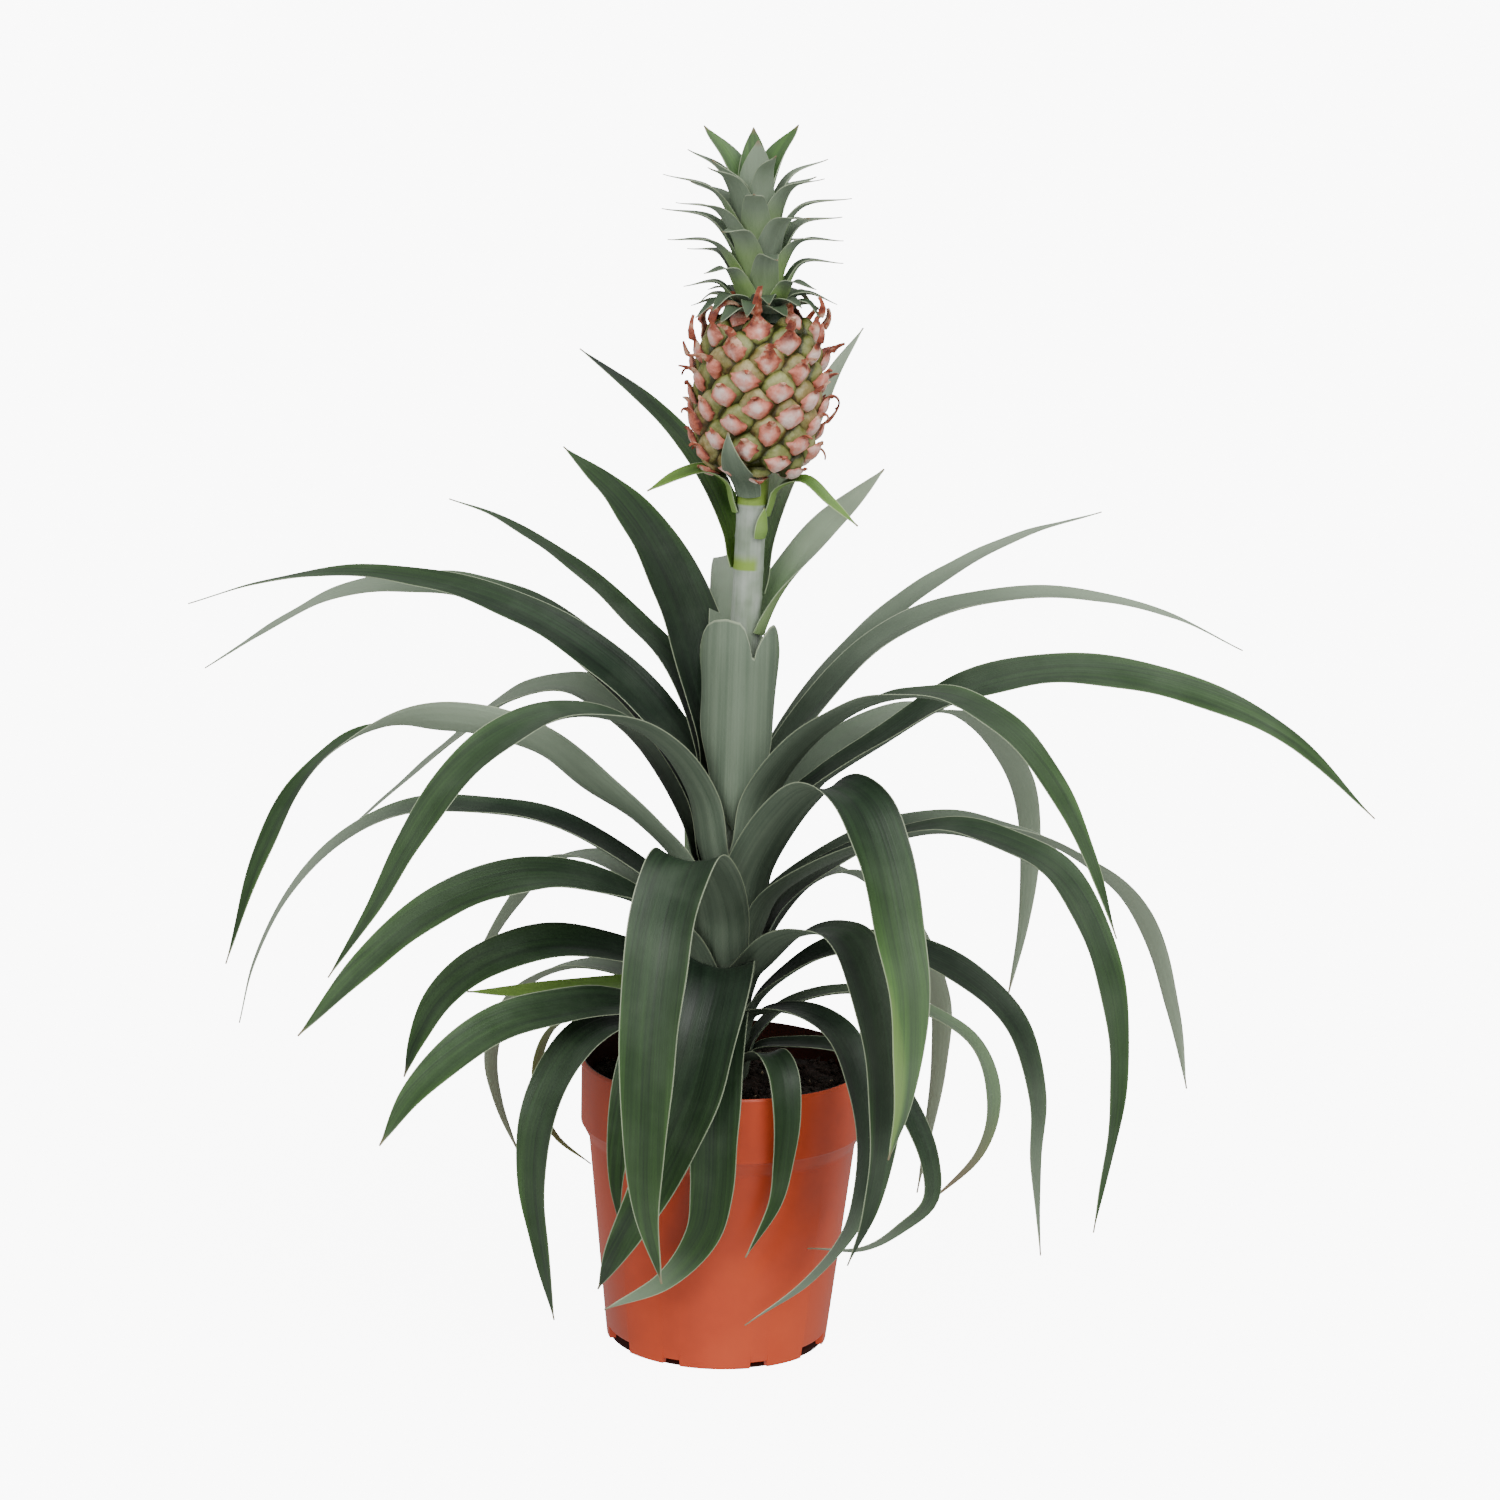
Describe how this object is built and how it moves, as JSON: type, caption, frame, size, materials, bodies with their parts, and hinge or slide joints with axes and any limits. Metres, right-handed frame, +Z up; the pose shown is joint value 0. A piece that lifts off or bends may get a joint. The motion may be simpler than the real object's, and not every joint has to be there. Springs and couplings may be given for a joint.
{
  "type": "potted pineapple plant",
  "caption": "Ornamental pineapple plant in a plastic nursery pot: a rosette of long arching leaves around a bare stem that carries a small leafy-topped fruit.",
  "frame": {"origin": "middle of the flat disc under the pot, on the surface that it stands on", "axes": "+Z up; -Y is the front of the plant, which the picture shows; +X is the viewer's right"},
  "size_m": [0.5029, 0.3107, 0.5081],
  "materials": {
    "terracotta_plastic": "satin",
    "soil": "matte",
    "stem": "matte",
    "leaf": "satin",
    "scape_leaf": "satin",
    "fruit": "matte",
    "crown_leaf": "matte"
  },
  "bodies": {
    "root": {"pot": "terracotta_plastic", "soil": "soil", "stem": "stem", "leaf_01": "leaf", "leaf_02": "leaf", "leaf_03": "leaf", "leaf_04": "leaf", "leaf_05": "leaf", "leaf_06": "leaf", "leaf_07": "leaf", "leaf_08": "leaf", "leaf_09": "leaf", "leaf_10": "leaf", "leaf_11": "leaf", "leaf_12": "leaf", "leaf_13": "leaf", "leaf_14": "leaf", "leaf_15": "leaf", "leaf_16": "leaf", "leaf_17": "leaf", "leaf_18": "leaf", "leaf_19": "leaf", "leaf_20": "leaf", "leaf_21": "leaf", "leaf_22": "leaf", "leaf_23": "leaf", "leaf_24": "leaf", "leaf_25": "leaf", "leaf_26": "leaf", "leaf_27": "leaf", "leaf_28": "leaf", "leaf_29": "leaf", "leaf_30": "leaf", "leaf_31": "leaf", "leaf_32": "leaf", "leaf_33": "leaf", "leaf_34": "leaf", "leaf_35": "leaf", "leaf_36": "leaf", "leaf_37": "leaf", "leaf_38": "leaf", "leaf_39": "leaf", "leaf_40": "leaf", "leaf_41": "leaf", "stem_leaf_1": "scape_leaf", "stem_leaf_2": "scape_leaf", "stem_leaf_3": "scape_leaf", "stem_leaf_4": "scape_leaf", "stem_leaf_5": "scape_leaf", "stem_leaf_6": "scape_leaf", "stem_leaf_7": "scape_leaf", "fruit": "fruit", "crown": "crown_leaf"}
  },
  "joints": []
}
